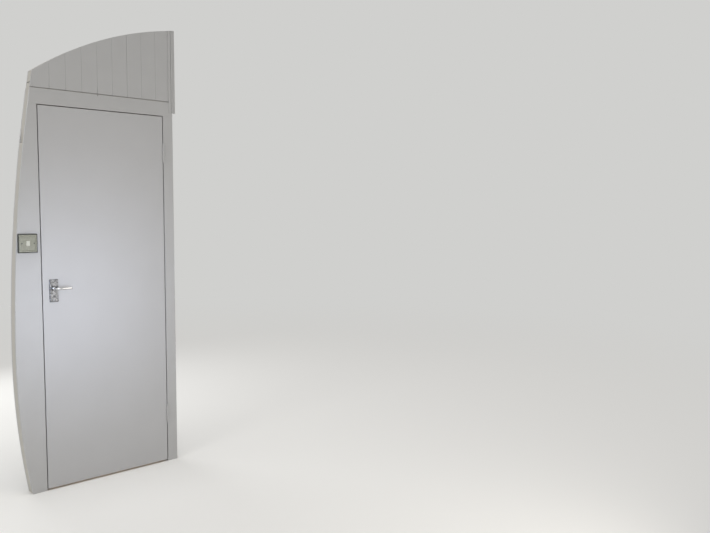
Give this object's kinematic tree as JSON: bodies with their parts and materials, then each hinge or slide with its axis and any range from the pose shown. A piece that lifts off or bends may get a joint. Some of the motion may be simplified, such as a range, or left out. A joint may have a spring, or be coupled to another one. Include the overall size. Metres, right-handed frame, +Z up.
{
  "type": "flush door in a boarded corner partition",
  "caption": "White flush door with lever handle, hung in a narrow boarded corner partition whose top follows a curved roof and whose side is scribed to a bowed wall.",
  "frame": {"origin": "middle of the hinge post's foot, at floor level", "axes": "+X along the partition from the latch side to the hinge side, +Y from the room into the closet, +Z up"},
  "size_m": [0.9119, 0.141, 2.4803],
  "materials": {
    "painted_softwood": "white eggshell paint on planed softwood",
    "painted_hardboard": "white eggshell paint, rolled on a smooth sheet facing",
    "primed_softwood": "thin pale primer on planed softwood",
    "bare_softwood": "planed softwood",
    "painted_steel": "white paint brushed over steel",
    "plated_steel": "zinc plated",
    "polished_chrome": "polished",
    "bronzed_steel": "dark bronze lacquer",
    "aged_brass": "aged and lacquered",
    "cream_plastic": "moulded"
  },
  "bodies": {
    "frame": {"hinge_post": "primed_softwood", "latch_post": "primed_softwood", "scribe_batten": "primed_softwood", "head_rail": "primed_softwood", "roof_plate": "primed_softwood", "short_studs": "primed_softwood", "hinge_jamb": "painted_softwood", "latch_jamb": "painted_softwood", "head_jamb": "painted_softwood", "hinge_stop": "painted_softwood", "latch_stop": "painted_softwood", "head_stop": "painted_softwood", "front_hinge_stile": "painted_softwood", "front_latch_stile": "painted_softwood", "front_header": "painted_softwood", "front_boards": "painted_softwood", "back_hinge_stile": "painted_softwood", "back_latch_stile": "painted_softwood", "back_header": "painted_softwood", "back_boards": "painted_softwood", "corner_trim": "painted_softwood", "strike_plate": "plated_steel", "switch_box": "bronzed_steel", "switch_plate": "aged_brass", "switch_rocker": "cream_plastic", "upper_hinge_frame_leaf": "painted_steel", "upper_hinge_pin": "painted_steel", "lower_hinge_frame_leaf": "painted_steel", "lower_hinge_pin": "painted_steel"},
    "door": {"door_core": "bare_softwood", "front_facing": "painted_hardboard", "back_facing": "painted_hardboard", "hinge_lipping": "painted_softwood", "latch_lipping": "painted_softwood", "upper_hinge_door_leaf": "painted_steel", "lower_hinge_door_leaf": "painted_steel", "latch_case": "plated_steel", "latch_bolt": "plated_steel", "front_backplate": "polished_chrome", "back_backplate": "polished_chrome"},
    "handle": {"front_lever": "polished_chrome", "back_lever": "polished_chrome", "spindle": "plated_steel"}
  },
  "joints": [
    {"name": "door_swing", "type": "hinge", "parent": "frame", "child": "door", "pos_m": [-0.0395, -0.0389, 1], "axis": [0, 0, 1], "range_deg": [0, 110]},
    {"name": "lever_turn", "type": "hinge", "parent": "door", "child": "handle", "pos_m": [-0.673, -0.0165, 1.06], "axis": [0, 1, 0], "range_deg": [0, 45], "stiffness_Nm_per_rad": 0.6, "springref_deg": -17.19}
  ]
}
